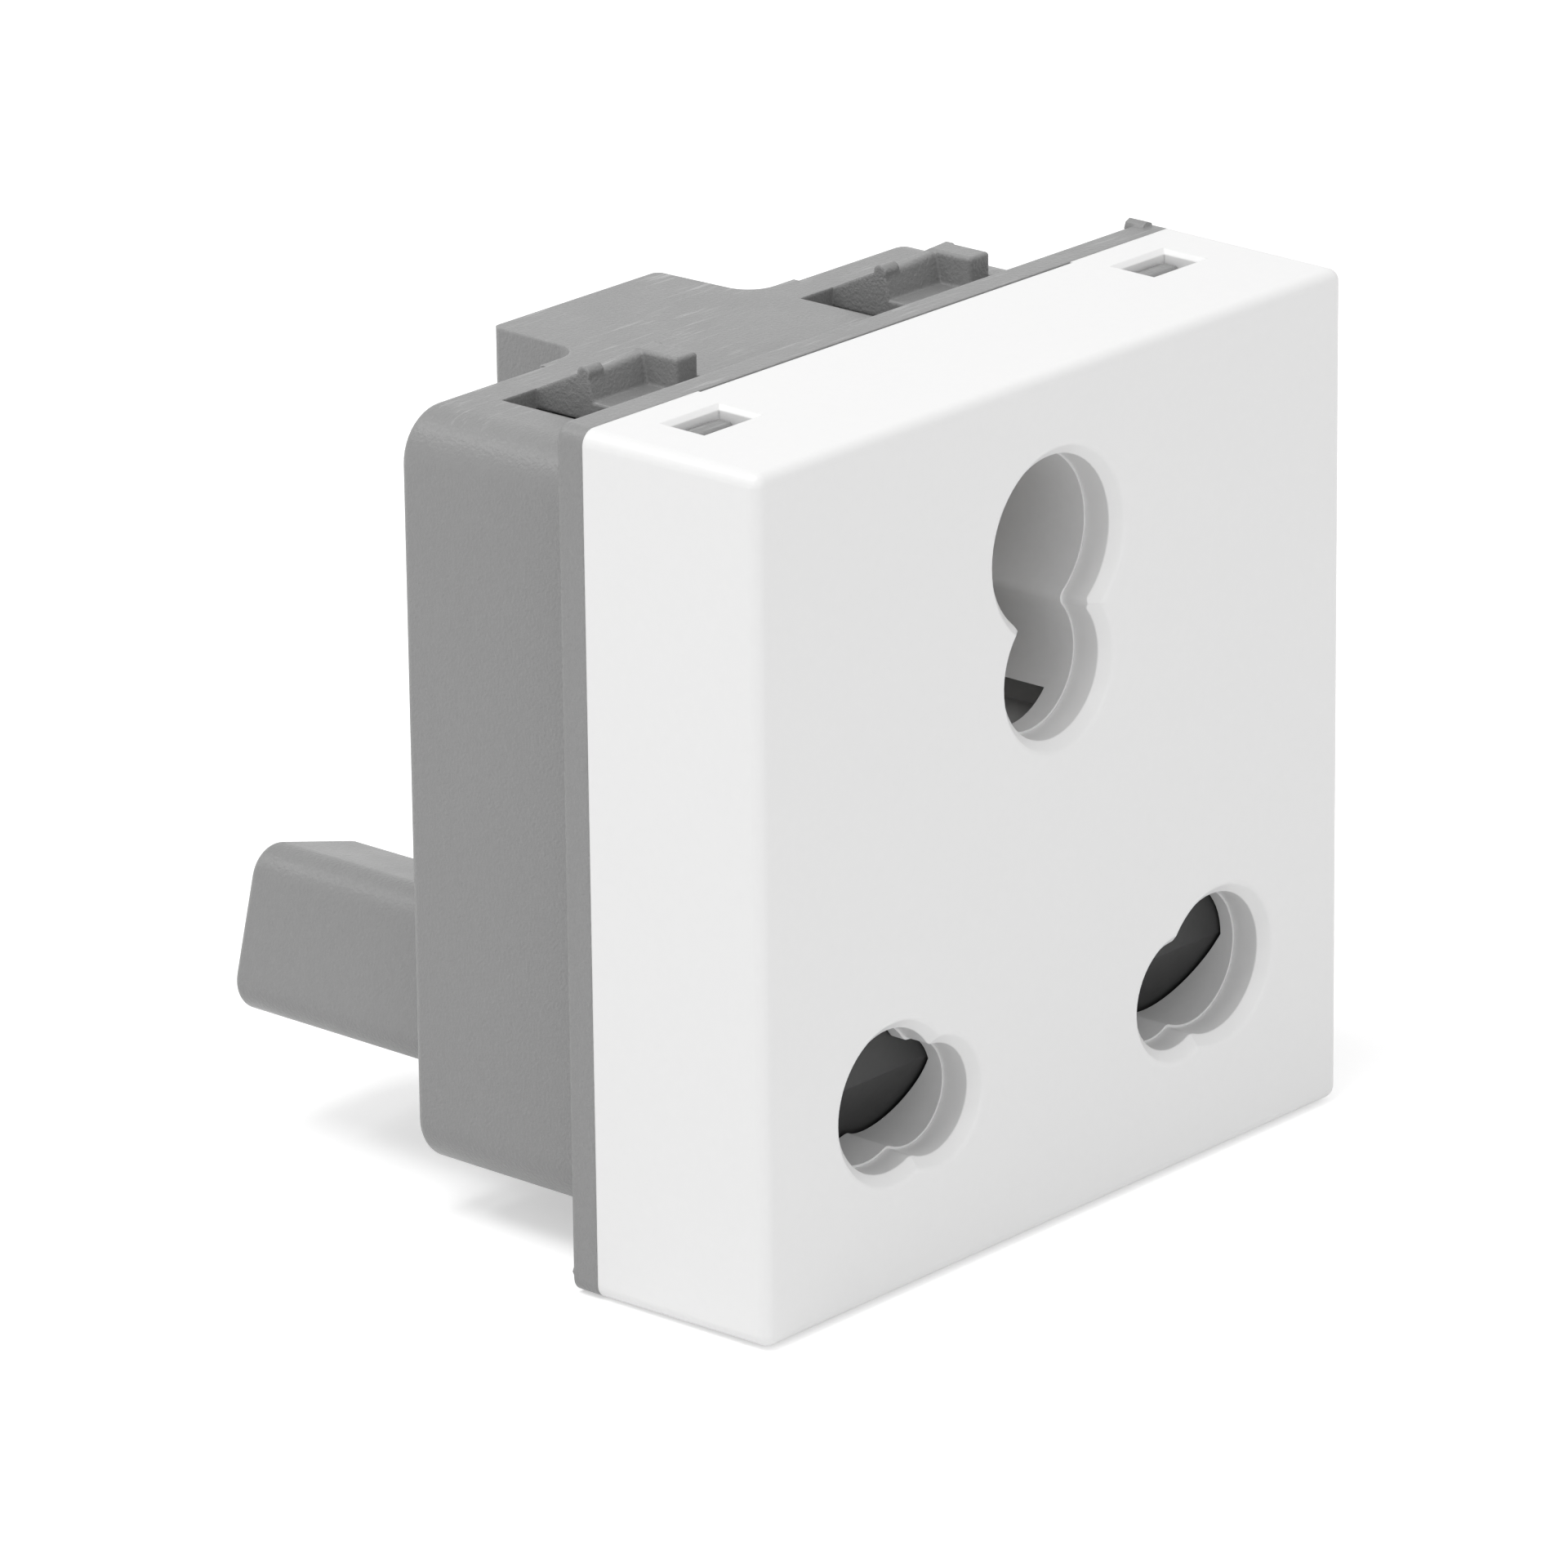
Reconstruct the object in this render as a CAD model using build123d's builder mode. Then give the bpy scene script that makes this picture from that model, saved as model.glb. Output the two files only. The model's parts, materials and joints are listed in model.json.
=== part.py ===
from build123d import *
from math import atan2, cos, hypot, radians, sin, sqrt, tan
import os

# Flush wall socket mechanism for round-pin plugs of 6 A and 16 A.
# Millimetres. X is to the right and Z up as seen from the front, +Y goes into the wall.
# The origin is the middle of the rim's rear face, which seats on the support frame.

# Front cover
face_size = 45.0
corner_round = 0.8
cover_depth = 11.1
cover_draft = 0.67
plate_thickness = 2.1
skirt_wall = 1.5
front_edge_round = 0.6
dish = 0.6
dish_round = 0.4
dish_angle = 45.0
window_from_side = 5.4
window_width = 3.8
window_front = 6.45
window_length = 2.4
window_bevel = 0.25
jog_half_width = 14.2
jog = 0.16

# Pin places and radii, for the 16 A plug and the 6 A plug
pin_x_16 = 12.7
pin_x_6 = 9.525
pins_from_bottom = 8.6
pin_drop_6 = 0.85
earth_from_top = 7.6
earth_step = 6.55
pin_radius_16 = 3.53
pin_radius_6 = 2.54
earth_pin_radius_16 = 4.35
earth_pin_radius_6 = 3.53
hole_radius_16 = 3.75
hole_radius_6 = 2.9
earth_hole_radius_16 = 4.55
earth_hole_radius_6 = 3.68
neck_round = 0.5

# Housing
rim_thickness = 1.6
body_step = 2.5
body_corner = 2.65
body_depth = 13.1
body_wall = 1.6
floor_thickness = 2.0
edge_round = 0.45
collar_gap = 0.15
collar_wall = 1.25
collar_length = 5.1
tooth_width = 3.2
tooth_height = 1.15
tooth_length = 2.0
tooth_lead = 1.2
cup_clearance = 1.0
cup_wall = 1.0
boss_x = 14.0
boss_z = 8.0
boss_radius = 2.6
pip_radius = 0.45
pip_sides = 8
pip_length = 1.2
pip_proud = 0.6
pip_side_inset = 1.0
pip_top_inset = 0.2
pip_bottom_inset = 0.8

# Snap lugs on the top and bottom of the housing
lug_pitch = 22.5
lug_left = -15.2
lug_pocket_width = 9.3
lug_pocket_front = 1.4
lug_pocket_rear = 10.6
lug_pocket_depth = 2.2
lug_pocket_wall = 0.9
lug_side_gap = 2.55
lug_tongue_width = 5.6
lug_tongue_front = 2.1
lug_tongue_thickness = 1.0
lug_bar_front = 6.8
lug_bar_lean = 0.33
lug_bar_crest = 0.6
lug_bar_low = 1.37
lug_bar_high = 1.7
lug_bar_round = 0.25
lug_fin_width = 1.55
lug_fin_length = 2.35
lug_strip_height = 0.12
lug_edge_round = 0.2
lug_nub_length = 1.1
lug_nub_radius = 0.38

# Rear towers
side_tower_size = 8.8
side_tower_round = 1.8
side_tower_depth = 15.0
earth_tower_half_width = 6.25
earth_tower_floor = 1.77
earth_tower_depth = 6.4
earth_tower_draft = 0.25
earth_tower_blend = 1.7
tower_rear_wall = 1.4
tower_side_gap = 0.1

# Shutter guide and contact retainer
fit_gap = 0.1
guide_thickness = 0.8
guide_step = 0.12
guide_tube_wall = 0.9
guide_rail_width = 1.1
guide_rail_gap = 0.3
guide_side_gap = 0.3
guide_lip = 1.0
guide_lip_thickness = 0.8
guide_lip_height = 20.8
guide_ledge = 2.4
guide_ledge_thickness = 1.2
guide_window_drop = 2.3
guide_window_front = 3.3
retainer_thickness = 1.4
shelf_drop = 3.8
shelf_thickness = 0.9
shelf_half_width = 4.5
cheek_thickness = 0.8
cheek_height = 1.3
shelf_front = 3.6

# Shutter
shutter_from_wall = 2.6
shutter_cover = 5.0
shutter_thickness = 3.3
shutter_skin = 1.4
shutter_rib = 1.2
shutter_gap = 0.12
bevel_angle = 30.0
notch_half_width = 4.6
notch_rise = 1.8

# Shutter springs and their seats
spring_x = 11.5
spring_from_face = 6.1
spring_radius = 1.9
spring_wire_radius = 0.25
spring_turns = 6
spring_space = 14.4
seat_half_width = 2.3
seat_thickness = 1.2
seat_rear = 8.6
post_radius = 1.3
post_length = 2.1

# Contacts
sheet = 0.5
contact_front = 0.3
contact_floor_gap = 2.4
contact_slit = 1.2
strap_width = 5.2
strap_neck_width = 3.2
strap_drop = 3.4
strap_bend = 1.5
grip_thickness = 0.35
grip_gap = 0.03
grip_front = 1.3
grip_length = 3.0
grip_opening = 3.4

# Terminals
block_width = 6.4
block_height = 5.6
block_length = 9.0
block_base = 1.4
block_bevel = 0.08
block_seat_gap = 0.05
wire_radius = 1.9
bore_depth = 6.0
screw_radius = 1.7
screw_length = 2.8
screw_slot_width = 0.7
screw_slot_depth = 0.9
screw_bevel = 0.25
screw_clearance = 0.3
screw_from_rear = 3.0
thread_gap = 0.04
rivet_radius = 1.0
rivet_length = 2.5
rivet_from_front = 1.5
rivet_gap = 0.02

# Screws that hold the contact retainer
fixing_head_radius = 2.3
fixing_head_height = 1.3
fixing_head_bevel = 0.3
fixing_radius = 1.25
fixing_length = 8.0
fixing_slot_width = 0.6
fixing_slot_depth = 0.6

# Worked out from the sizes above
rim_size = face_size + 2 * cover_depth * tan(radians(cover_draft))
front_y = -(cover_depth + rim_thickness)
window_offset = face_size / 2 - window_from_side
cover_inside = face_size - 2 * skirt_wall
collar_outside = cover_inside - 2 * collar_gap
collar_inside = collar_outside - 2 * collar_wall
body_size = face_size - 2 * body_step
body_inside = body_size - 2 * body_wall
body_top = body_size / 2
collar_inside_corner = body_corner - (body_size - collar_inside) / 2
pin_z_16 = pins_from_bottom - cover_inside / 2
pin_z_6 = pin_z_16 - pin_drop_6
earth_z_16 = cover_inside / 2 - earth_from_top
earth_z_6 = earth_z_16 - earth_step
tilt = atan2(pin_z_16 - pin_z_6, pin_x_16 - pin_x_6)
pin_step = hypot(pin_x_16 - pin_x_6, pin_z_16 - pin_z_6)
floor_y = body_depth - floor_thickness
side_tower_rear = body_depth + side_tower_depth
earth_tower_rear = body_depth + earth_tower_depth
guide_front = front_y + plate_thickness
guide_rear = guide_front + guide_thickness
guide_window_top = earth_z_6 - guide_window_drop
retainer_front = -retainer_thickness
shelf_top = earth_z_6 - shelf_drop
rail_length = retainer_front - fit_gap - guide_rear
rail_inner = collar_inside / 2 - guide_side_gap - guide_rail_width
shutter_half_width = rail_inner - guide_rail_gap
shutter_front = guide_rear + shutter_gap
shutter_rear = shutter_front + shutter_thickness
shutter_bottom = shutter_from_wall - collar_inside / 2
shutter_top = pin_z_16 + shutter_cover
notch_top = pin_z_16 + notch_rise
bevel_slope = tan(radians(bevel_angle))
ramp_bottom = shutter_bottom - fit_gap
guide_rail_bottom = ramp_bottom - guide_ledge_thickness
spring_y = front_y + spring_from_face
spring_seat_z = shutter_top + spring_space
guide_rail_top = spring_seat_z + seat_thickness
seat_length = front_y + seat_rear - guide_rear
contact_rear = floor_y - contact_floor_gap
contact_length = contact_rear - contact_front
wire_height = block_base + wire_radius
block_front_side = side_tower_rear - tower_rear_wall - fit_gap - block_length
block_front_earth = earth_tower_rear - tower_rear_wall - fit_gap - block_length
side_seat_drop = strap_drop - sheet - block_seat_gap
earth_seat_z = earth_z_6 - earth_pin_radius_6 + block_seat_gap
earth_tower_bottom = earth_seat_z - earth_tower_floor
lug_places = (lug_left, lug_left + lug_pitch)

sides = (-1, 1)
forward = (0, -1, 0)
rearward = (0, 1, 0)

os.makedirs("parts", exist_ok=True)


def face_plane(y):
    """A plane square to Y at the given depth, seen from the front."""
    return Plane.XZ.offset(-y)


def side_plane(x):
    """A plane square to X, with x to the rear and y up."""
    return Plane.YZ.offset(x)


def pin_plane(side, y):
    """As face_plane, on a 16 A pin of the lower pair, with x along the line to its 6 A pin."""
    origin = (side * pin_x_16, y, pin_z_16)
    return Plane(origin=origin, x_dir=(-side * cos(tilt), 0, -sin(tilt)), z_dir=(0, side, 0))


def earth_plane(y):
    """As face_plane, on the 16 A earth pin."""
    return Plane(origin=(0, y, earth_z_16), x_dir=(1, 0, 0), z_dir=forward)


def side_seat(side):
    """Plane of a lower terminal block's base: x to the rear, z up into the block."""
    up = Vector(-side * sin(tilt), 0, cos(tilt))
    origin = Vector(side * pin_x_16, block_front_side, pin_z_16) - up * side_seat_drop
    return Plane(origin=origin, x_dir=rearward, z_dir=up)


def earth_seat():
    """Plane of the earth terminal block's base: x to the rear, z up into the block."""
    return Plane(origin=(0, block_front_earth, earth_seat_z), x_dir=rearward, z_dir=(0, 0, 1))


def keyhole(big_radius, small_radius, small_centre, grow=0.0):
    """Two overlapping circles joined by rounded necks, the big one at the origin."""
    big = big_radius + grow
    small = small_radius + grow
    far = Vector(*small_centre)
    run = far.normalized()
    square = Vector(-run.Y, run.X)
    along = (far.length**2 + (big + neck_round) ** 2 - (small + neck_round) ** 2) / (2 * far.length)
    across = sqrt((big + neck_round) ** 2 - along**2)
    necks = [run * along - square * across, run * along + square * across]
    big_touch = [neck * (big / (big + neck_round)) for neck in necks]
    small_touch = [far + (neck - far) * (small / (small + neck_round)) for neck in necks]
    waists = [
        neck + ((start - neck).normalized() + (end - neck).normalized()).normalized() * neck_round
        for neck, start, end in zip(necks, big_touch, small_touch)
    ]
    with BuildSketch() as outline:
        with BuildLine():
            ThreePointArc(big_touch[1], run * -big, big_touch[0])
            ThreePointArc(big_touch[0], waists[0], small_touch[0])
            ThreePointArc(small_touch[0], far + run * small, small_touch[1])
            ThreePointArc(small_touch[1], waists[1], big_touch[1])
        make_face()
    return outline.sketch


def live_keyhole(big_radius, small_radius, grow=0.0):
    """Keyhole for a lower pin pair, drawn on pin_plane."""
    return keyhole(big_radius, small_radius, (pin_step, 0), grow)


def earth_keyhole(big_radius, small_radius, grow=0.0):
    """Keyhole for the earth pin pair, drawn on earth_plane."""
    return keyhole(big_radius, small_radius, (0, -earth_step), grow)


live_opening = live_keyhole(hole_radius_16, hole_radius_6)
earth_opening = earth_keyhole(earth_hole_radius_16, earth_hole_radius_6)
live_sleeve_opening = live_keyhole(hole_radius_16, hole_radius_6, -guide_step)
earth_sleeve_opening = earth_keyhole(earth_hole_radius_16, earth_hole_radius_6, -guide_step)
earth_tube_outline = earth_keyhole(earth_hole_radius_16, earth_hole_radius_6, guide_tube_wall)
live_chamber = live_keyhole(pin_radius_16, pin_radius_6, cup_clearance)
earth_chamber = earth_keyhole(earth_pin_radius_16, earth_pin_radius_6, cup_clearance)
live_cup = live_keyhole(pin_radius_16, pin_radius_6, cup_clearance + cup_wall)
earth_cup = earth_keyhole(earth_pin_radius_16, earth_pin_radius_6, cup_clearance + cup_wall)
live_pins = live_keyhole(pin_radius_16, pin_radius_6)
earth_pins = earth_keyhole(earth_pin_radius_16, earth_pin_radius_6)
live_sheet = live_keyhole(pin_radius_16, pin_radius_6, sheet)
earth_sheet = earth_keyhole(earth_pin_radius_16, earth_pin_radius_6, sheet)
live_grip_inner = live_keyhole(pin_radius_16, pin_radius_6, sheet + grip_gap)
earth_grip_inner = earth_keyhole(earth_pin_radius_16, earth_pin_radius_6, sheet + grip_gap)
grip_reach = sheet + grip_gap + grip_thickness
live_grip_outer = live_keyhole(pin_radius_16, pin_radius_6, grip_reach)
earth_grip_outer = earth_keyhole(earth_pin_radius_16, earth_pin_radius_6, grip_reach)

# Rounding of the dish's brim, measured from where its slope would meet the face
dish_turn = radians(dish_angle)
dish_flare = dish_round * tan(dish_turn / 2)
dish_tangent = Vector(-cos(dish_turn), sin(dish_turn)) * dish_flare
dish_middle = Vector(dish_flare - dish_round * sin(dish_turn / 2), dish_round * (1 - cos(dish_turn / 2)))

# Front cover: a drafted square cap with three keyhole apertures and four latch windows
with BuildPart() as front_cover:
    with BuildSketch(face_plane(-rim_thickness)):
        RectangleRounded(rim_size, rim_size, corner_round)
    extrude(amount=cover_depth, taper=cover_draft)
    fillet(front_cover.faces().sort_by(Axis.Y)[0].outer_wire().edges(), front_edge_round)
    with BuildSketch(face_plane(-rim_thickness)):
        RectangleRounded(cover_inside, cover_inside, corner_round)
    extrude(amount=cover_depth - plate_thickness, mode=Mode.SUBTRACT)
    with BuildSketch(earth_plane(front_y)):
        add(earth_opening)
    extrude(amount=plate_thickness, dir=rearward, mode=Mode.SUBTRACT)
    for side in sides:
        with BuildSketch(pin_plane(side, front_y)):
            add(live_opening)
        extrude(amount=plate_thickness, dir=rearward, mode=Mode.SUBTRACT)
    for x, z, radius in (
        (0, earth_z_16, earth_hole_radius_16),
        (0, earth_z_6, earth_hole_radius_6),
        (-pin_x_16, pin_z_16, hole_radius_16),
        (-pin_x_6, pin_z_6, hole_radius_6),
        (pin_x_16, pin_z_16, hole_radius_16),
        (pin_x_6, pin_z_6, hole_radius_6),
    ):
        with BuildSketch(Plane(origin=(x, front_y, z), x_dir=(1, 0, 0), z_dir=(0, 0, 1))):
            with BuildLine():
                brim = radius + dish / tan(dish_turn)
                slope_end = dish_tangent + Vector(brim, 0)
                Polyline((brim + dish_flare, 0), (0, 0), (0, dish), (radius, dish), slope_end)
                ThreePointArc(slope_end, dish_middle + Vector(brim, 0), (brim + dish_flare, 0))
            make_face()
        revolve(axis=Axis((x, front_y, z), rearward), mode=Mode.SUBTRACT)
    with BuildSketch(Plane.XY):
        with Locations((0, front_y + window_front + window_length / 2)):
            with GridLocations(2 * window_offset, 0, 2, 1):
                Rectangle(window_width, window_length)
    extrude(amount=face_size, both=True, mode=Mode.SUBTRACT)
    skirts = front_cover.faces().filter_by(lambda face: len(face.inner_wires()) == 2)
    outer_skirts = skirts.filter_by(lambda face: abs(face.center().Z) > (cover_inside + skirt_wall) / 2)
    window_rims = [wire.edges() for face in outer_skirts for wire in face.inner_wires()]
    chamfer([edge for rim in window_rims for edge in rim], window_bevel)
    with BuildSketch(face_plane(-rim_thickness)):
        Rectangle(2 * jog_half_width, 2 * face_size)
    extrude(amount=jog, mode=Mode.SUBTRACT)
front_cover.part.label = "front_cover"
export_step(front_cover.part, "parts/front_cover.step")

# Fin at the right end of a snap lug, its top and front edges rounded
fin_x = lug_side_gap + lug_tongue_width - lug_fin_width / 2
fin_front = lug_bar_front + lug_bar_lean - lug_fin_length
with BuildPart() as lug_fin:
    with BuildSketch(Plane.XY.offset(body_top)):
        with Locations((fin_x, fin_front + (lug_fin_length + lug_bar_crest) / 2)):
            Rectangle(lug_fin_width, lug_fin_length + lug_bar_crest)
    extrude(amount=lug_bar_high)
    fin_top = lug_fin.faces().sort_by(Axis.Z)[-1]
    fillet(fin_top.edges() + lug_fin.edges().filter_by(Axis.Z).group_by(Axis.Y)[0], lug_edge_round)

# Snap lug: a sprung tongue with a ramped bar, a nub, the fin and a low strip in front of it
with BuildPart() as snap_lug:
    with BuildSketch(Plane.XY.offset(body_top)):
        with Locations((lug_side_gap + lug_tongue_width / 2, (lug_tongue_front + lug_pocket_rear) / 2)):
            Rectangle(lug_tongue_width, lug_pocket_rear - lug_tongue_front)
    extrude(amount=-lug_tongue_thickness)
    for x, rise in ((lug_side_gap, lug_bar_low), (lug_side_gap + lug_tongue_width, lug_bar_high)):
        with BuildSketch(side_plane(x)) as bar_profile:
            with BuildLine():
                Polyline(
                    (lug_bar_front, body_top),
                    (lug_bar_front + lug_bar_lean, body_top + rise),
                    (lug_bar_front + lug_bar_lean + lug_bar_crest, body_top + rise),
                    (lug_pocket_rear, body_top),
                    close=True,
                )
            make_face()
            fillet(bar_profile.vertices().group_by(Axis.Y)[-1], lug_bar_round)
    loft()
    with BuildSketch(side_plane(lug_side_gap)):
        with Locations((lug_bar_front + lug_bar_lean + lug_bar_crest / 2, body_top + lug_bar_low)):
            Circle(lug_nub_radius)
    extrude(amount=lug_nub_length)
    with BuildSketch(Plane.XY.offset(body_top)):
        with Locations((fin_x, (lug_tongue_front + fin_front + lug_edge_round) / 2)):
            Rectangle(lug_fin_width, fin_front + lug_edge_round - lug_tongue_front)
    extrude(amount=lug_strip_height)
    add(lug_fin.part)

# Housing: rim, collar, tub, towers and snap lugs in one moulding
with BuildPart() as base_housing:
    with BuildSketch(face_plane(0)):
        RectangleRounded(body_size, body_size, body_corner)
    extrude(amount=body_depth, dir=rearward)
    fillet(base_housing.faces().sort_by(Axis.Y)[-1].edges(), edge_round)
    with BuildSketch(face_plane(0)):
        RectangleRounded(rim_size, rim_size, corner_round)
    extrude(amount=rim_thickness)
    with BuildSketch(face_plane(-rim_thickness)):
        RectangleRounded(collar_outside, collar_outside, corner_round)
    extrude(amount=collar_length)
    # Lower towers, turned in line with their pin pairs
    for side in sides:
        with BuildSketch(pin_plane(side, floor_y)):
            RectangleRounded(side_tower_size, side_tower_size, side_tower_round)
        extrude(amount=side_tower_rear - floor_y, dir=rearward)
    for face in base_housing.faces().filter_by(Axis.Y).sort_by(Axis.Y)[-2:]:
        fillet(face.edges(), edge_round)
    # Earth tower, flush with the top and blended into the rear face
    with BuildSketch(Plane.XY.offset(earth_tower_bottom)) as earth_tower_plan:
        with BuildLine():
            Polyline(
                (-earth_tower_half_width - 2 * earth_tower_blend, floor_y),
                (-earth_tower_half_width - 2 * earth_tower_blend, body_depth),
                (-earth_tower_half_width - earth_tower_draft, body_depth),
                (-earth_tower_half_width, earth_tower_rear),
                (earth_tower_half_width, earth_tower_rear),
                (earth_tower_half_width + earth_tower_draft, body_depth),
                (earth_tower_half_width + 2 * earth_tower_blend, body_depth),
                (earth_tower_half_width + 2 * earth_tower_blend, floor_y),
                close=True,
            )
        make_face()
        corners = earth_tower_plan.vertices()
        fillet(corners.group_by(Axis.Y)[-1], edge_round)
        inner_corners = earth_tower_plan.vertices().filter_by_position(Axis.Y, body_depth, body_depth)
        fillet(inner_corners.sort_by(lambda corner: abs(corner.X))[:2], earth_tower_blend)
    extrude(amount=body_top - earth_tower_bottom)
    # Hollow of the collar and the tub
    with BuildSketch(face_plane(-rim_thickness - collar_length)):
        RectangleRounded(collar_inside, collar_inside, collar_inside_corner)
    extrude(amount=rim_thickness + collar_length, dir=rearward, mode=Mode.SUBTRACT)
    with BuildSketch(face_plane(0)):
        RectangleRounded(body_inside, body_inside, body_corner - body_wall)
    extrude(amount=floor_y, dir=rearward, mode=Mode.SUBTRACT)
    # Walls round the lug pockets
    for side in sides:
        wall_middle = body_top - (lug_pocket_depth + lug_pocket_wall) / 2
        with BuildSketch(face_plane(0)):
            for place in lug_places:
                with Locations((place + lug_pocket_width / 2, side * wall_middle)):
                    Rectangle(lug_pocket_width + 2 * lug_pocket_wall, lug_pocket_depth + lug_pocket_wall)
        extrude(amount=lug_pocket_rear + lug_pocket_wall, dir=rearward)
    # Cups that hold the contacts, and screw bosses
    for side in sides:
        with BuildSketch(pin_plane(side, fit_gap)):
            add(live_cup)
        extrude(amount=floor_y, dir=rearward)
    with BuildSketch(earth_plane(fit_gap)):
        add(earth_cup)
    extrude(amount=floor_y, dir=rearward)
    with BuildSketch(face_plane(0)):
        with Locations((0, boss_z)):
            with GridLocations(2 * boss_x, 0, 2, 1):
                Circle(boss_radius)
    extrude(amount=floor_y, dir=rearward)
    # Chambers for the contacts and the terminal blocks
    chamber_drop = sheet + block_seat_gap + fit_gap
    for side in sides:
        with BuildSketch(pin_plane(side, 0)):
            add(live_chamber)
        extrude(amount=floor_y, dir=rearward, mode=Mode.SUBTRACT)
        with BuildSketch(side_seat(side).offset(-chamber_drop)):
            Rectangle(2 * (block_length + fit_gap), block_width + 2 * tower_side_gap)
        extrude(amount=block_height + chamber_drop + fit_gap, mode=Mode.SUBTRACT)
    with BuildSketch(earth_plane(0)):
        add(earth_chamber)
    extrude(amount=floor_y, dir=rearward, mode=Mode.SUBTRACT)
    with BuildSketch(earth_plane(0)):
        Circle(earth_hole_radius_16)
    extrude(amount=earth_tower_rear - tower_rear_wall, dir=rearward, mode=Mode.SUBTRACT)
    with BuildSketch(earth_seat().offset(-chamber_drop)):
        Rectangle(2 * (block_length + fit_gap), block_width + 2 * tower_side_gap)
    extrude(amount=block_height + chamber_drop + fit_gap, mode=Mode.SUBTRACT)
    # Wire entries in the towers' rear walls, screw holes in their undersides
    for seat, rear in (
        (side_seat(-1), side_tower_rear),
        (side_seat(1), side_tower_rear),
        (earth_seat(), earth_tower_rear),
    ):
        entry = seat.from_local_coords((block_length, 0, wire_height))
        with BuildSketch(Plane(origin=(entry.X, rear, entry.Z), z_dir=forward)):
            Circle(wire_radius)
        extrude(amount=tower_rear_wall + fit_gap, mode=Mode.SUBTRACT)
        reach = seat.from_local_coords((block_length - screw_from_rear, 0, 0))
        with BuildSketch(Plane(origin=reach, z_dir=-seat.z_dir)):
            Circle(screw_radius + screw_clearance)
        extrude(amount=side_tower_size / 2, mode=Mode.SUBTRACT)
    # Screw holes in the bosses
    with BuildSketch(face_plane(0)):
        with Locations((0, boss_z)):
            with GridLocations(2 * boss_x, 0, 2, 1):
                Circle(fixing_radius + thread_gap)
    extrude(amount=fixing_length, dir=rearward, mode=Mode.SUBTRACT)
    # Pockets of the snap lugs, with the lugs themselves rooted in their rear walls
    for side in sides:
        with BuildSketch(Plane.XY.offset(side * body_top)):
            for place in lug_places:
                with Locations((place + lug_pocket_width / 2, (lug_pocket_front + lug_pocket_rear) / 2)):
                    Rectangle(lug_pocket_width, lug_pocket_rear - lug_pocket_front)
        extrude(amount=-side * lug_pocket_depth, mode=Mode.SUBTRACT)
    with Locations([(place, 0, 0) for place in lug_places]):
        add(snap_lug.part)
        add(mirror(snap_lug.part, about=Plane.XY, mode=Mode.PRIVATE))
    # Crush pips across the rim's rear edge, at two opposite corners
    with BuildSketch(face_plane(pip_proud)):
        pip_x = rim_size / 2 - pip_side_inset
        with Locations((pip_x, rim_size / 2 - pip_top_inset), (-pip_x, pip_bottom_inset - rim_size / 2)):
            RegularPolygon(pip_radius, pip_sides)
    extrude(amount=pip_length)
    # Latch teeth for the cover's windows
    tooth_front = front_y + window_front + (window_length - tooth_length) / 2
    for side in sides:
        for place in (-window_offset, window_offset):
            with BuildSketch(Plane.YZ.offset(place)):
                with BuildLine():
                    Polyline(
                        (tooth_front, side * (collar_outside - collar_wall) / 2),
                        (tooth_front, side * collar_outside / 2),
                        (tooth_front + tooth_lead, side * (collar_outside / 2 + tooth_height)),
                        (tooth_front + tooth_length, side * (collar_outside / 2 + tooth_height)),
                        (tooth_front + tooth_length, side * (collar_outside - collar_wall) / 2),
                        close=True,
                    )
                make_face()
            extrude(amount=tooth_width / 2, both=True)
base_housing.part.label = "base_housing"
export_step(base_housing.part, "parts/base_housing.step")

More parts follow.
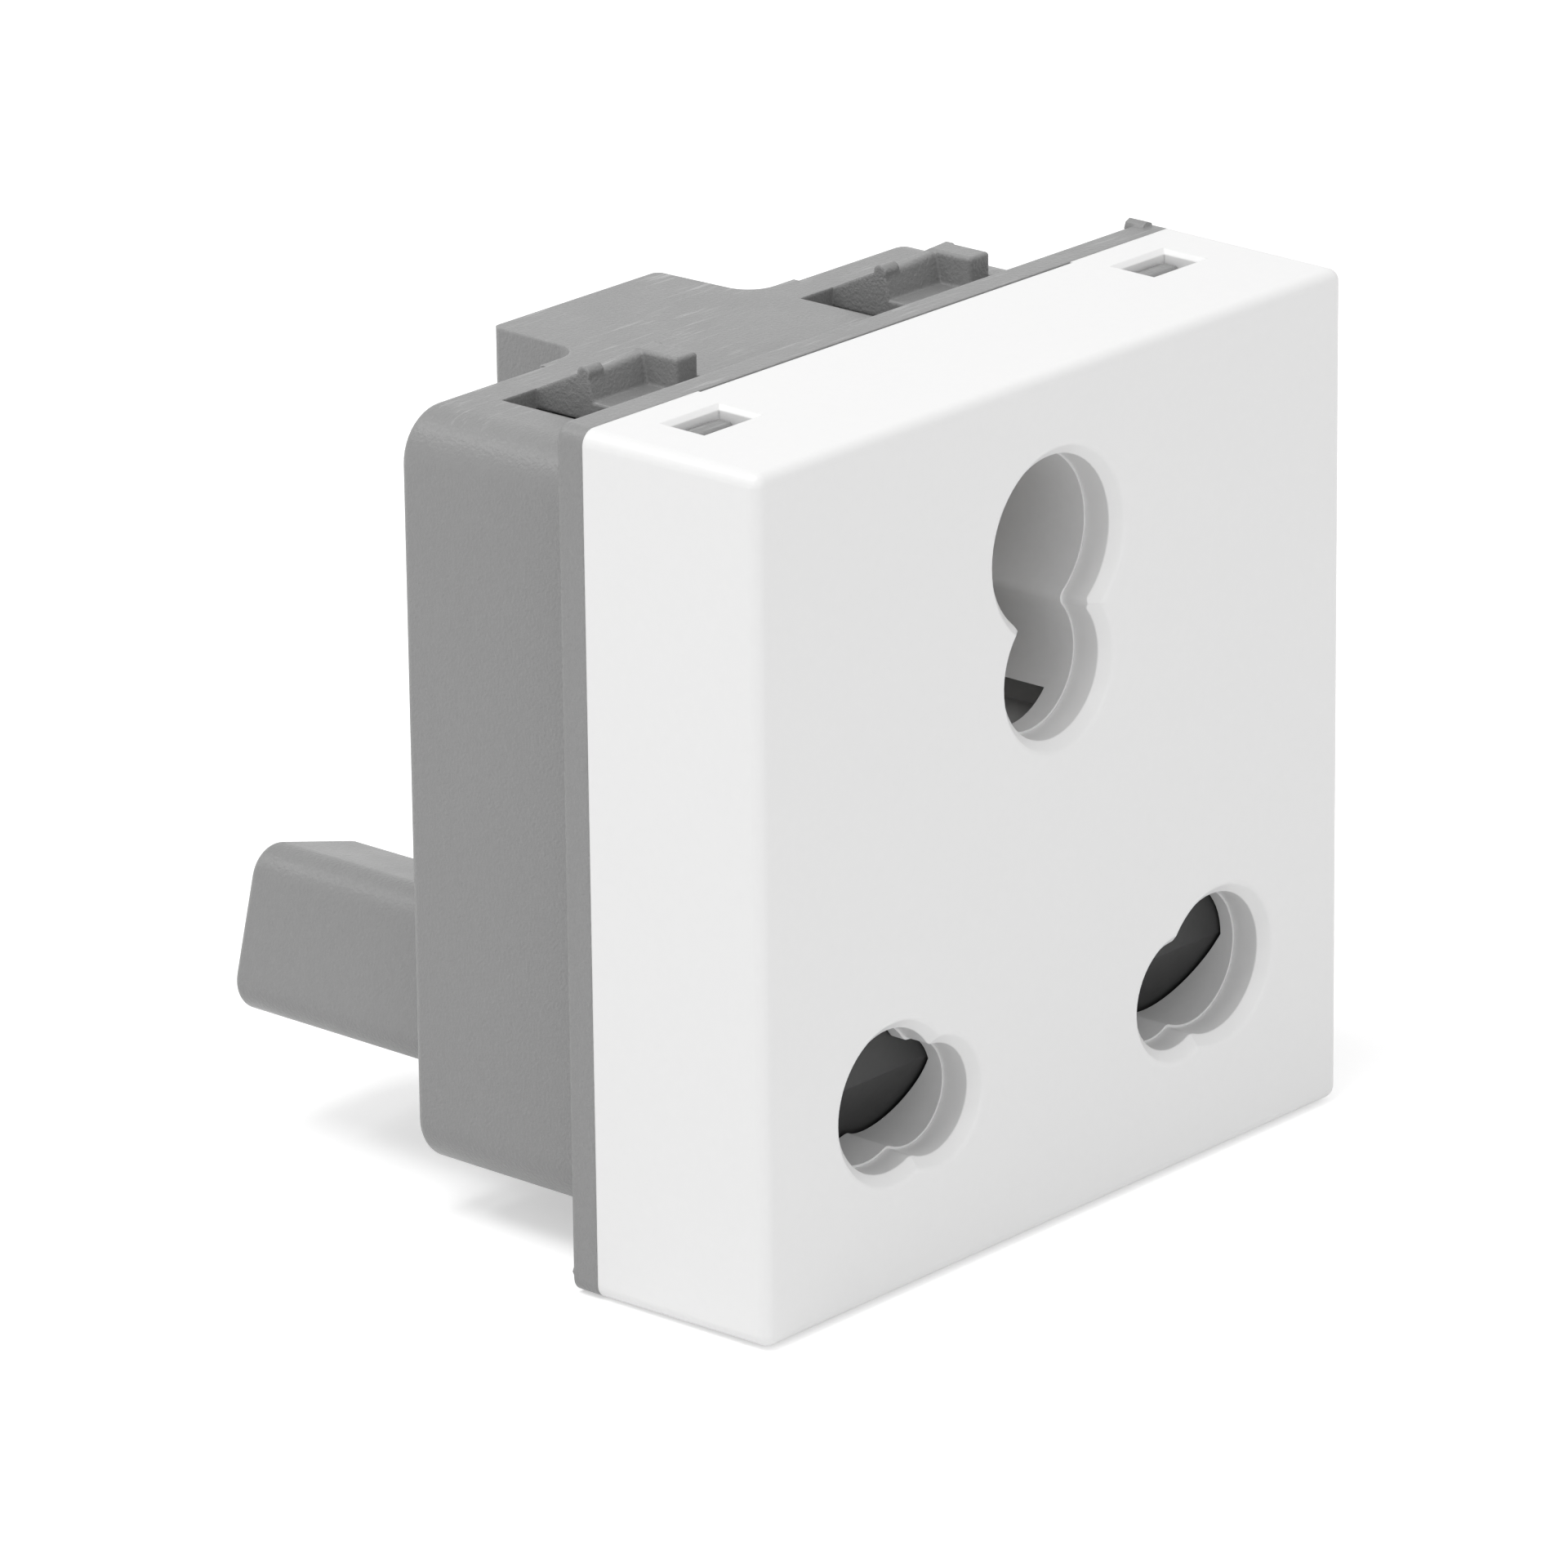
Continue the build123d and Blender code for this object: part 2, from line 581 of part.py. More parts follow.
# Shutter guide: a plate behind the cover with the earth tube, rails, ramps and spring seats
with BuildPart() as shutter_guide:
    with BuildSketch(face_plane(guide_front)):
        RectangleRounded(collar_outside, collar_outside, corner_round)
    extrude(amount=guide_thickness, dir=rearward)
    with BuildSketch(earth_plane(guide_rear)):
        add(earth_tube_outline)
    extrude(amount=rail_length, dir=rearward)
    rail_height = guide_rail_top - guide_rail_bottom
    for side in sides:
        with BuildSketch(face_plane(guide_rear)):
            with Locations((side * (rail_inner + guide_rail_width / 2), guide_rail_top - rail_height / 2)):
                Rectangle(guide_rail_width, rail_height)
        extrude(amount=rail_length, dir=rearward)
        with BuildSketch(face_plane(shutter_rear + shutter_gap)):
            with Locations((side * (rail_inner - guide_lip / 2), guide_rail_bottom + guide_lip_height / 2)):
                Rectangle(guide_lip, guide_lip_height)
        extrude(amount=guide_lip_thickness, dir=rearward)
        with BuildSketch(face_plane(guide_rear)):
            with Locations((side * (rail_inner - guide_ledge / 2), ramp_bottom - guide_ledge_thickness / 2)):
                Rectangle(guide_ledge, guide_ledge_thickness)
        extrude(amount=shutter_rear + shutter_gap - guide_rear, dir=rearward)
        with BuildSketch(Plane.YZ.offset(side * (rail_inner + notch_half_width) / 2)):
            with BuildLine():
                Polyline(
                    (guide_rear, pin_z_16),
                    (guide_rear, ramp_bottom),
                    (guide_rear + (pin_z_16 - ramp_bottom) * bevel_slope, ramp_bottom),
                    close=True,
                )
            make_face()
        extrude(amount=(rail_inner - notch_half_width) / 2, both=True)
        with BuildSketch(pin_plane(side, guide_front)):
            add(live_sleeve_opening)
        extrude(amount=rail_length, dir=rearward, mode=Mode.SUBTRACT)
        with BuildSketch(face_plane(guide_rear)):
            with Locations((side * spring_x, spring_seat_z + seat_thickness / 2)):
                Rectangle(2 * seat_half_width, seat_thickness)
        extrude(amount=seat_length, dir=rearward)
        with BuildSketch(Plane.XY.offset(spring_seat_z)):
            with Locations((side * spring_x, spring_y)):
                Circle(post_radius)
        extrude(amount=-post_length)
    with BuildSketch(earth_plane(guide_front)):
        add(earth_sleeve_opening)
    extrude(amount=guide_thickness + rail_length, dir=rearward, mode=Mode.SUBTRACT)
    window_y = front_y + guide_window_front
    with BuildSketch(face_plane(window_y)):
        with Locations((0, guide_window_top - earth_hole_radius_6)):
            Rectangle(3 * earth_hole_radius_6, 2 * earth_hole_radius_6)
    extrude(amount=rail_length, dir=rearward, mode=Mode.SUBTRACT)
shutter_guide.part.label = "shutter_guide"
export_step(shutter_guide.part, "parts/shutter_guide.step")

# Contact retainer: closes the contact chambers and carries the shelf under the earth tube
with BuildPart() as contact_retainer:
    with BuildSketch(face_plane(0)):
        retainer_size = collar_inside - 2 * fit_gap
        RectangleRounded(retainer_size, retainer_size, collar_inside_corner)
    extrude(amount=retainer_thickness)
    shelf_y = front_y + shelf_front
    with BuildSketch(face_plane(shelf_y)):
        with Locations((0, shelf_top - shelf_thickness / 2)):
            Rectangle(2 * shelf_half_width, shelf_thickness)
        for side in sides:
            with Locations((side * (shelf_half_width - cheek_thickness / 2), shelf_top + cheek_height / 2)):
                Rectangle(cheek_thickness, cheek_height)
    extrude(amount=-shelf_y - retainer_thickness, dir=rearward)
    with BuildSketch(earth_plane(0)):
        add(earth_sleeve_opening)
    extrude(amount=retainer_thickness, mode=Mode.SUBTRACT)
    for side in sides:
        with BuildSketch(pin_plane(side, 0)):
            add(live_sleeve_opening)
        extrude(amount=retainer_thickness, dir=forward, mode=Mode.SUBTRACT)
    with BuildSketch(face_plane(0)):
        with Locations((0, boss_z)):
            with GridLocations(2 * boss_x, 0, 2, 1):
                Circle(fixing_radius + fit_gap)
    extrude(amount=retainer_thickness, mode=Mode.SUBTRACT)
contact_retainer.part.label = "contact_retainer"
export_step(contact_retainer.part, "parts/contact_retainer.step")

# Shutter: one plate over both lower holes, bevelled so that two pin tips lift it together
with BuildPart() as shutter:
    bevel_top = pin_z_16 + fit_gap
    with BuildSketch(Plane.YZ):
        with BuildLine():
            Polyline(
                (shutter_front, shutter_top),
                (shutter_front, bevel_top),
                (shutter_front + (bevel_top - shutter_bottom) * bevel_slope, shutter_bottom),
                (shutter_rear, shutter_bottom),
                (shutter_rear, shutter_top),
                close=True,
            )
        make_face()
    extrude(amount=shutter_half_width, both=True)
    fillet(shutter.edges().filter_by(Axis.X).group_by(Axis.Z)[-1], edge_round)
    with BuildSketch(face_plane(shutter_front)):
        with Locations((0, (shutter_bottom + notch_top) / 2)):
            Rectangle(2 * notch_half_width, notch_top - shutter_bottom)
    extrude(amount=shutter_thickness, dir=rearward, mode=Mode.SUBTRACT)
    pocket_top = shutter_top - seat_thickness - shutter_rib / 2
    pocket_bottom = bevel_top + shutter_rib / 2
    pocket_width = (shutter_half_width - notch_half_width) / 2 - shutter_rib
    for side in sides:
        pocket_x = side * (shutter_half_width + notch_half_width) / 2
        with BuildSketch(face_plane(shutter_rear)):
            with Locations((pocket_x, (pocket_top + pocket_bottom) / 2)):
                with GridLocations(pocket_width, 0, 2, 1):
                    Rectangle(pocket_width - shutter_rib, pocket_top - pocket_bottom)
        extrude(amount=shutter_thickness - shutter_skin, mode=Mode.SUBTRACT)
        with BuildSketch(face_plane(shutter_rear)):
            with Locations((side * spring_x, shutter_top - seat_thickness / 2)):
                Rectangle(2 * seat_half_width, seat_thickness)
        extrude(amount=front_y + seat_rear - shutter_rear, dir=rearward)
        with BuildSketch(Plane.XY.offset(shutter_top)):
            with Locations((side * spring_x, spring_y)):
                Circle(post_radius)
        extrude(amount=post_length)
shutter.part.label = "shutter"
export_step(shutter.part, "parts/shutter.step")


def shutter_spring(side):
    """Compression spring between the shutter and its seat on the guide."""
    height = spring_seat_z - shutter_top - 2 * spring_wire_radius - 2 * fit_gap
    foot = (side * spring_x, spring_y, shutter_top + spring_wire_radius + fit_gap)
    with BuildPart() as spring:
        with BuildLine() as coil:
            Helix(pitch=height / spring_turns, height=height, radius=spring_radius, center=foot)
        with BuildSketch(Plane(origin=coil.line @ 0, z_dir=coil.line % 0)):
            RegularPolygon(spring_wire_radius, 6)
        sweep(is_frenet=True)
    return spring


shutter_spring_left = shutter_spring(-1)
shutter_spring_left.part.label = "shutter_spring_left"
export_step(shutter_spring_left.part, "parts/shutter_spring_left.step")

shutter_spring_right = shutter_spring(1)
shutter_spring_right.part.label = "shutter_spring_right"
export_step(shutter_spring_right.part, "parts/shutter_spring_right.step")


def fixing_screw(side):
    """Slotted screw through the retainer into a boss of the housing."""
    with BuildPart() as screw:
        with BuildSketch(face_plane(retainer_front)):
            with Locations((side * boss_x, boss_z)):
                Circle(fixing_head_radius)
        extrude(amount=fixing_head_height)
        chamfer(screw.edges().sort_by(Axis.Y)[0], fixing_head_bevel)
        with BuildSketch(face_plane(retainer_front)):
            with Locations((side * boss_x, boss_z)):
                Circle(fixing_radius)
        extrude(amount=fixing_length, dir=rearward)
        with BuildSketch(face_plane(retainer_front - fixing_head_height)):
            with Locations((side * boss_x, boss_z)):
                Rectangle(2 * fixing_head_radius, fixing_slot_width)
        extrude(amount=fixing_slot_depth, dir=rearward, mode=Mode.SUBTRACT)
    return screw


retainer_screw_left = fixing_screw(-1)
retainer_screw_left.part.label = "retainer_screw_left"
export_step(retainer_screw_left.part, "parts/retainer_screw_left.step")

retainer_screw_right = fixing_screw(1)
retainer_screw_right.part.label = "retainer_screw_right"
export_step(retainer_screw_right.part, "parts/retainer_screw_right.step")


def strap(seat, sleeve_bottom, neck_start):
    """Folded strap from a sleeve's underside to beneath its terminal block.

    sleeve_bottom is the height of the sleeve's underside over the block's base.
    """
    low = sleeve_bottom + sheet / 2
    high = -block_seat_gap - sheet / 2
    start = neck_start - seat.origin.Y
    bend_start = contact_rear - seat.origin.Y
    bend_end = bend_start + strap_bend
    wide_start = floor_y - seat.origin.Y
    with BuildPart() as folded:
        with BuildSketch(Plane(origin=seat.origin, x_dir=rearward, z_dir=-seat.y_dir)):
            with BuildLine():
                if abs(high - low) > fit_gap:
                    Polyline((start, low), (bend_start, low), (bend_end, high), (block_length, high))
                else:
                    Line((start, low), (block_length, low))
            trace(line_width=sheet)
        extrude(amount=strap_width / 2, both=True)
        with BuildSketch(seat.offset(-2 * sheet)):
            for edge in sides:
                margin = (strap_width - strap_neck_width) / 2
                middle = edge * (strap_neck_width + margin) / 2
                with Locations(((start + wide_start) / 2 - sheet, middle)):
                    Rectangle(wide_start - start + 2 * sheet, margin)
        extrude(amount=4 * sheet, both=True, mode=Mode.SUBTRACT)
        with BuildSketch(seat):
            with Locations((block_length - screw_from_rear, 0)):
                Circle(screw_radius + screw_clearance)
            with Locations((rivet_from_front, 0)):
                Circle(rivet_radius + rivet_gap)
        extrude(amount=-2 * sheet, mode=Mode.SUBTRACT)
    return folded.part


# Left contact: a slit sleeve for both pin sizes, with its strap
left_seat = side_seat(-1)
left_sleeve_bottom = side_seat_drop - pin_radius_16 - sheet
left_strap = strap(left_seat, left_sleeve_bottom, contact_rear - strap_neck_width / 2)
with BuildPart() as neutral_contact:
    with BuildSketch(pin_plane(-1, contact_front)):
        add(live_sheet)
        add(live_pins, mode=Mode.SUBTRACT)
        with Locations((-pin_radius_16, 0)):
            Rectangle(4 * sheet, contact_slit, mode=Mode.SUBTRACT)
    extrude(amount=contact_length, dir=rearward)
    add(left_strap)
neutral_contact.part.label = "neutral_contact"
export_step(neutral_contact.part, "parts/neutral_contact.step")

with BuildPart() as line_contact:
    mirror(neutral_contact.part, about=Plane.YZ)
line_contact.part.label = "line_contact"
export_step(line_contact.part, "parts/line_contact.step")

# Earth contact
earth_strap = strap(earth_seat(), -sheet - block_seat_gap, contact_rear - strap_neck_width / 2)
with BuildPart() as earth_contact:
    with BuildSketch(earth_plane(contact_front)):
        add(earth_sheet)
        add(earth_pins, mode=Mode.SUBTRACT)
        with Locations((0, earth_pin_radius_16)):
            Rectangle(contact_slit, 4 * sheet, mode=Mode.SUBTRACT)
    extrude(amount=contact_length, dir=rearward)
    add(earth_strap)
earth_contact.part.label = "earth_contact"
export_step(earth_contact.part, "parts/earth_contact.step")

# Steel clips that press the contact sleeves on the pins
grip_y = contact_front + grip_front
with BuildPart() as neutral_grip_spring:
    with BuildSketch(pin_plane(-1, grip_y)):
        add(live_grip_outer)
        add(live_grip_inner, mode=Mode.SUBTRACT)
        with Locations((-pin_radius_16, 0)):
            Rectangle(pin_radius_16, grip_opening, mode=Mode.SUBTRACT)
    extrude(amount=grip_length, dir=rearward)
neutral_grip_spring.part.label = "neutral_grip_spring"
export_step(neutral_grip_spring.part, "parts/neutral_grip_spring.step")

with BuildPart() as line_grip_spring:
    mirror(neutral_grip_spring.part, about=Plane.YZ)
line_grip_spring.part.label = "line_grip_spring"
export_step(line_grip_spring.part, "parts/line_grip_spring.step")

with BuildPart() as earth_grip_spring:
    with BuildSketch(earth_plane(grip_y)):
        add(earth_grip_outer)
        add(earth_grip_inner, mode=Mode.SUBTRACT)
        with Locations((0, earth_pin_radius_16)):
            Rectangle(grip_opening, earth_pin_radius_16, mode=Mode.SUBTRACT)
    extrude(amount=grip_length, dir=rearward)
earth_grip_spring.part.label = "earth_grip_spring"
export_step(earth_grip_spring.part, "parts/earth_grip_spring.step")


def terminal_block(seat):
    """Brass block with a blind wire bore from the rear and a cross hole for its screw."""
    with BuildPart() as block:
        with BuildSketch(seat):
            with Locations((block_length / 2, 0)):
                Rectangle(block_length, block_width)
        extrude(amount=block_height)
        chamfer(block.edges().filter_by(Axis.Y), block_bevel)
        mouth = seat.from_local_coords((block_length, 0, wire_height))
        with BuildSketch(Plane(origin=mouth, z_dir=forward)):
            Circle(wire_radius)
        extrude(amount=bore_depth, mode=Mode.SUBTRACT)
        with BuildSketch(seat):
            with Locations((block_length - screw_from_rear, 0)):
                Circle(screw_radius + thread_gap)
        extrude(amount=wire_height, mode=Mode.SUBTRACT)
        with BuildSketch(seat):
            with Locations((rivet_from_front, 0)):
                Circle(rivet_radius + rivet_gap)
        extrude(amount=rivet_length, mode=Mode.SUBTRACT)
    return block


def strap_rivet(seat):
    """Rivet that joins a strap to the solid end of its block."""
    with BuildPart() as rivet:
        with BuildSketch(seat.offset(-sheet - block_seat_gap)):
            with Locations((rivet_from_front, 0)):
                Circle(rivet_radius)
        extrude(amount=rivet_length)
    return rivet


def terminal_screw(seat):
    """Slotted grub screw under a block, its tip just clear of the wire bore."""
    tip = block_base - block_seat_gap
    with BuildPart() as screw:
        with BuildSketch(seat.offset(tip - screw_length)):
            with Locations((block_length - screw_from_rear, 0)):
                Circle(screw_radius)
        extrude(amount=screw_length)
        chamfer(screw.edges().filter_by(GeomType.CIRCLE), screw_bevel)
        with BuildSketch(seat.offset(tip - screw_length)):
            with Locations((block_length - screw_from_rear, 0)):
                Rectangle(screw_slot_width, 2 * screw_radius)
        extrude(amount=screw_slot_depth, mode=Mode.SUBTRACT)
    return screw


earth_terminal = terminal_block(earth_seat())
earth_terminal.part.label = "earth_terminal"
export_step(earth_terminal.part, "parts/earth_terminal.step")

neutral_terminal = terminal_block(side_seat(-1))
neutral_terminal.part.label = "neutral_terminal"
export_step(neutral_terminal.part, "parts/neutral_terminal.step")

line_terminal = terminal_block(side_seat(1))
line_terminal.part.label = "line_terminal"
export_step(line_terminal.part, "parts/line_terminal.step")

earth_rivet = strap_rivet(earth_seat())
earth_rivet.part.label = "earth_rivet"
export_step(earth_rivet.part, "parts/earth_rivet.step")

neutral_rivet = strap_rivet(side_seat(-1))
neutral_rivet.part.label = "neutral_rivet"
export_step(neutral_rivet.part, "parts/neutral_rivet.step")

line_rivet = strap_rivet(side_seat(1))
line_rivet.part.label = "line_rivet"
export_step(line_rivet.part, "parts/line_rivet.step")

earth_terminal_screw = terminal_screw(earth_seat())
earth_terminal_screw.part.label = "earth_terminal_screw"
export_step(earth_terminal_screw.part, "parts/earth_terminal_screw.step")

neutral_terminal_screw = terminal_screw(side_seat(-1))
neutral_terminal_screw.part.label = "neutral_terminal_screw"
export_step(neutral_terminal_screw.part, "parts/neutral_terminal_screw.step")

line_terminal_screw = terminal_screw(side_seat(1))
line_terminal_screw.part.label = "line_terminal_screw"
export_step(line_terminal_screw.part, "parts/line_terminal_screw.step")
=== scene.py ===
import json

import bpy
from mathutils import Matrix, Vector


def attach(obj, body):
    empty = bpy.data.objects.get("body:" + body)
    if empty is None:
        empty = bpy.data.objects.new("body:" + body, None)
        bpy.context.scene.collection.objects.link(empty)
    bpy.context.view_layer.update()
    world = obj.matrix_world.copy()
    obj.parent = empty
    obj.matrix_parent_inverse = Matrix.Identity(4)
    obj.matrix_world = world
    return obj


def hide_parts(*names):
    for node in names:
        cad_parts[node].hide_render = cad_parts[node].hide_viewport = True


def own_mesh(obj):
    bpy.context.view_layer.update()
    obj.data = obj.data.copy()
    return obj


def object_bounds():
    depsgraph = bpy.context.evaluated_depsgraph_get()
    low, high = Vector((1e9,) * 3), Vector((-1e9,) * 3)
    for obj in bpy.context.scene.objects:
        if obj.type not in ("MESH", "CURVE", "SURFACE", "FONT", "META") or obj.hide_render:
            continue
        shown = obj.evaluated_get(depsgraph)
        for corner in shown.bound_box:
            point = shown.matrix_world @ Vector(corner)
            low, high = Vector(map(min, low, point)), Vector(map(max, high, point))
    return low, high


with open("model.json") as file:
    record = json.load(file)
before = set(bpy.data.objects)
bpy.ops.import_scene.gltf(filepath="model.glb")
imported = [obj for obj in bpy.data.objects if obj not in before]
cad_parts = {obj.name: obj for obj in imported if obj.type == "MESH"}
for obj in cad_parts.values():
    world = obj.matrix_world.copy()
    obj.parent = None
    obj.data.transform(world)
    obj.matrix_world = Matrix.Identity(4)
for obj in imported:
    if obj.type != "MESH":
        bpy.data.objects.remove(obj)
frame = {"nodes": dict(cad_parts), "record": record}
cad_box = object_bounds()
nodes = frame["nodes"]

# Fine detail shared by the surfaces. Noise scales are in waves per metre, and lengths in metres
gloss_scale = 260.0
speckle_scale = 1900.0
noise_low = 0.3
noise_high = 0.7
grain_depth = 0.00005
bevel_samples = 6
plastic_ior = 1.5
plastic_sheen_spread = 0.04

# Wear of the housing, and a painted highlight on its edges
scuff_scale = 2600.0
scuff_stretch = (0.1, 1.6, 1.0)
scuff_patch_scale = 140.0
scuff_strength = 0.55
scuff_brightness = 1.9
scuff_from_z = 0.015
scuff_full_z = 0.018
# Painted highlight: how strongly and how much lighter the housing's rounded edges are coloured
edge_highlight_strength = 0.8
edge_highlight_brightness = 1.7

# Floor and world
floor_size = 3.0
floor_gap = 0.00005
floor_grey = 0.82
floor_lift = 0.45
world_light = 0.6
white_level = 1.0


def grey(value, warmth=0.0):
    """Grey colour, a little warmer or cooler."""
    return (value + warmth, value, value - warmth, 1.0)


def noise_of(tree, vector, scale, detail=3.0, stretch=None):
    """Noise over an object's own coordinates, drawn out along the axes with a small stretch."""
    if stretch:
        mapping = tree.nodes.new("ShaderNodeMapping")
        mapping.inputs["Scale"].default_value = stretch
        tree.links.new(vector, mapping.inputs["Vector"])
        vector = mapping.outputs["Vector"]
    noise = tree.nodes.new("ShaderNodeTexNoise")
    noise.inputs["Scale"].default_value = scale
    noise.inputs["Detail"].default_value = detail
    tree.links.new(vector, noise.inputs["Vector"])
    return noise.outputs["Fac"]


def spread(tree, factor, low, high, start=0.0, end=1.0):
    """Remap a factor between start and end to values from low to high."""
    remap = tree.nodes.new("ShaderNodeMapRange")
    remap.inputs["From Min"].default_value = start
    remap.inputs["From Max"].default_value = end
    remap.inputs["To Min"].default_value = low
    remap.inputs["To Max"].default_value = high
    tree.links.new(factor, remap.inputs["Value"])
    return remap.outputs["Result"]


def times(tree, one, other):
    """Product of two factors."""
    product = tree.nodes.new("ShaderNodeMath")
    product.operation = "MULTIPLY"
    tree.links.new(one, product.inputs[0])
    tree.links.new(other, product.inputs[1])
    return product.outputs[0]


def blended(tree, factor, low, high):
    """Colour that goes from low to high with a factor."""
    ramp = tree.nodes.new("ShaderNodeValToRGB")
    ramp.color_ramp.elements[0].color = low
    ramp.color_ramp.elements[1].color = high
    tree.links.new(factor, ramp.inputs["Fac"])
    return ramp.outputs["Color"]


def mixed(tree, factor, base, colour):
    """Colour that goes from a base to a fixed colour with a factor."""
    mix = tree.nodes.new("ShaderNodeMix")
    mix.data_type = "RGBA"
    tree.links.new(factor, mix.inputs["Factor"])
    tree.links.new(base, mix.inputs["A"])
    mix.inputs["B"].default_value = colour
    return mix.outputs["Result"]


def surface(name, roughness, sheen_spread, grain, grain_scale, edge, stretch=None):
    """Shader with an uneven gloss, a fine grain and softly rounded edges."""
    material = bpy.data.materials.new(name)
    material.use_nodes = True
    tree = material.node_tree
    shader = tree.nodes["Principled BSDF"]
    place = tree.nodes.new("ShaderNodeTexCoord").outputs["Object"]
    gloss = noise_of(tree, place, gloss_scale, detail=4.0, stretch=stretch)
    low = roughness - sheen_spread
    high = roughness + sheen_spread
    rough = spread(tree, gloss, low, high, noise_low, noise_high)
    tree.links.new(rough, shader.inputs["Roughness"])
    rounding = tree.nodes.new("ShaderNodeBevel")
    rounding.samples = bevel_samples
    rounding.inputs["Radius"].default_value = edge
    bump = tree.nodes.new("ShaderNodeBump")
    bump.inputs["Strength"].default_value = grain
    bump.inputs["Distance"].default_value = grain_depth
    relief = noise_of(tree, place, grain_scale, detail=2.0, stretch=stretch)
    tree.links.new(relief, bump.inputs["Height"])
    tree.links.new(rounding.outputs["Normal"], bump.inputs["Normal"])
    tree.links.new(bump.outputs["Normal"], shader.inputs["Normal"])
    return material, tree, shader, place


def plastic(name, value, roughness, grain, speckle, grain_scale=2600.0, edge=0.00012, warmth=0.0):
    """Moulded plastic with a very faint speckle in its colour."""
    material, tree, shader, place = surface(
        name, roughness, plastic_sheen_spread, grain, grain_scale, edge
    )
    shader.inputs["IOR"].default_value = plastic_ior
    dots = noise_of(tree, place, speckle_scale, detail=2.0)
    dots = spread(tree, dots, 0.0, 1.0, noise_low, noise_high)
    dark = grey(value * (1 - speckle), warmth)
    light = grey(value * (1 + speckle), warmth)
    tree.links.new(blended(tree, dots, dark, light), shader.inputs["Base Color"])
    return material


def scuffed_plastic_with_painted_highlights(name, value, roughness, grain, speckle, grain_scale, edge):
    """Moulded plastic with light scuffs along X on its upper face, and a painted highlight that lightens
    its rounded edges.
    """
    material = plastic(name, value, roughness, grain, speckle, grain_scale, edge)
    tree = material.node_tree
    shader = tree.nodes["Principled BSDF"]
    base = shader.inputs["Base Color"].links[0].from_socket
    coords = tree.nodes.new("ShaderNodeTexCoord")

    # Scuffs: fine lines in loose patches, only where the face looks up and lies high
    lines = noise_of(tree, coords.outputs["Object"], scuff_scale, stretch=scuff_stretch)
    patches = noise_of(tree, coords.outputs["Object"], scuff_patch_scale, detail=2.0)
    upward = tree.nodes.new("ShaderNodeSeparateXYZ")
    tree.links.new(coords.outputs["Normal"], upward.inputs["Vector"])
    height = tree.nodes.new("ShaderNodeSeparateXYZ")
    tree.links.new(coords.outputs["Object"], height.inputs["Vector"])
    facing = spread(tree, upward.outputs["Z"], 0.0, 1.0, start=0.8, end=0.95)
    high_up = spread(tree, height.outputs["Z"], 0.0, 1.0, start=scuff_from_z, end=scuff_full_z)
    scuffs = times(
        tree,
        spread(tree, lines, 0.0, scuff_strength, start=0.57, end=0.67),
        spread(tree, patches, 0.0, 1.0, start=0.42, end=0.6),
    )
    where = times(tree, scuffs, times(tree, facing, high_up))
    scuffed = mixed(tree, where, base, grey(value * scuff_brightness))

    # Painted highlight on the edges: colour lightened where the rounded normal turns away from the flat
    # one
    rounding = next(node for node in tree.nodes if node.bl_idname == "ShaderNodeBevel")
    turn = tree.nodes.new("ShaderNodeVectorMath")
    turn.operation = "DOT_PRODUCT"
    tree.links.new(rounding.outputs["Normal"], turn.inputs[0])
    tree.links.new(tree.nodes.new("ShaderNodeNewGeometry").outputs["Normal"], turn.inputs[1])
    painted_highlight_mask = spread(tree, turn.outputs["Value"], edge_highlight_strength, 0.0, start=0.72, end=0.97)
    with_painted_highlight = mixed(tree, painted_highlight_mask, scuffed, grey(value * edge_highlight_brightness))
    tree.links.new(with_painted_highlight, shader.inputs["Base Color"])
    return material


def metal(name, dull, bright, roughness, stretch):
    """Rolled or drawn metal: scratches along one axis and a slight tarnish."""
    material, tree, shader, place = surface(
        name, roughness, sheen_spread=0.09, grain=0.08, grain_scale=1400.0, edge=0.00006, stretch=stretch
    )
    shader.inputs["Metallic"].default_value = 1.0
    stain = noise_of(tree, place, 330.0, detail=5.0)
    stain = spread(tree, stain, 0.0, 1.0, start=0.35, end=0.65)
    tree.links.new(blended(tree, stain, dull, bright), shader.inputs["Base Color"])
    return material


materials = {
    "white_cover": plastic(
        "white_cover", 0.86, roughness=0.34, grain=0.04, speckle=0.004, warmth=0.001
    ),
    # The housing's scuffs are wear; its lighter rounded edges are a painted highlight
    "grey_housing": scuffed_plastic_with_painted_highlights(
        "grey_housing", 0.26, roughness=0.36, grain=1.0, speckle=0.02, grain_scale=5500.0, edge=0.00028
    ),
    "light_inner": plastic(
        "light_inner", 0.8, roughness=0.4, grain=0.05, speckle=0.01, edge=0.00003
    ),
    "dark_shutter": plastic("dark_shutter", 0.028, roughness=0.55, grain=0.15, speckle=0.05),
    "grey_retainer": plastic("grey_retainer", 0.36, roughness=0.45, grain=0.2, speckle=0.03),
    "brass": metal(
        "brass",
        dull=(0.62, 0.42, 0.17, 1.0),
        bright=(0.80, 0.60, 0.29, 1.0),
        roughness=0.3,
        stretch=(1.0, 0.12, 1.0),
    ),
    "spring_steel": metal(
        "spring_steel", dull=grey(0.44), bright=grey(0.58), roughness=0.3, stretch=(1.0, 1.0, 1.0)
    ),
    "plated_steel": metal(
        "plated_steel",
        dull=grey(0.55, -0.01),
        bright=grey(0.68, 0.01),
        roughness=0.26,
        stretch=(0.3, 1.0, 1.0),
    ),
}
for part in frame["record"]["subparts"]:
    mesh = nodes[part["node"]].data
    mesh.materials.clear()
    mesh.materials.append(materials[part["material_slot"]])

